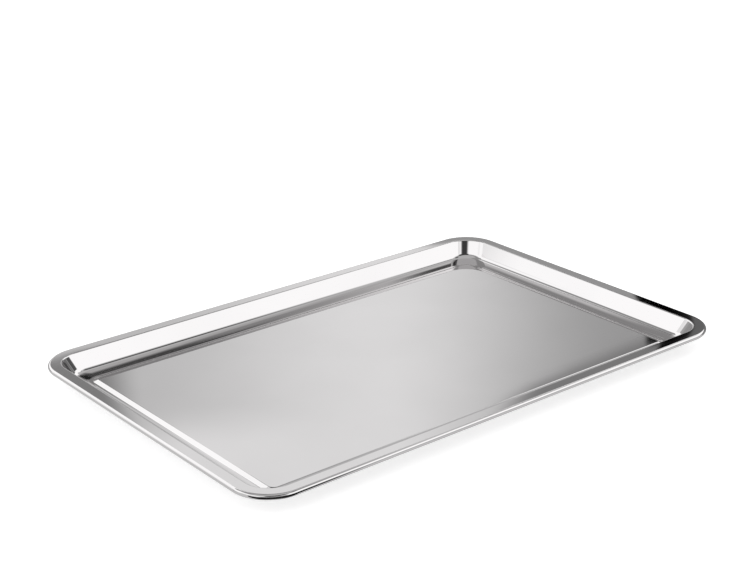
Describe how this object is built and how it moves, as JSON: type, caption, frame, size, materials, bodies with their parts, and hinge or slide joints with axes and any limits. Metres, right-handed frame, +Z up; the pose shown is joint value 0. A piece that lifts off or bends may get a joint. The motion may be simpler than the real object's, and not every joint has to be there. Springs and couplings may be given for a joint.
{
  "type": "cookie sheet",
  "caption": "Shallow rectangular steel baking tray with rounded corners, a leaning wall, a raised centre panel and a rolled rim over a wire.",
  "frame": {"origin": "on the floor under the middle of the pan", "axes": "+X along the pan's length, +Y along its width, +Z up out of the open side"},
  "size_m": [0.4, 0.265, 0.0142],
  "materials": {
    "pan_steel": "polished",
    "wire_steel": "satin"
  },
  "bodies": {
    "root": {"pan": "pan_steel", "rim_wire": "wire_steel"}
  },
  "joints": []
}
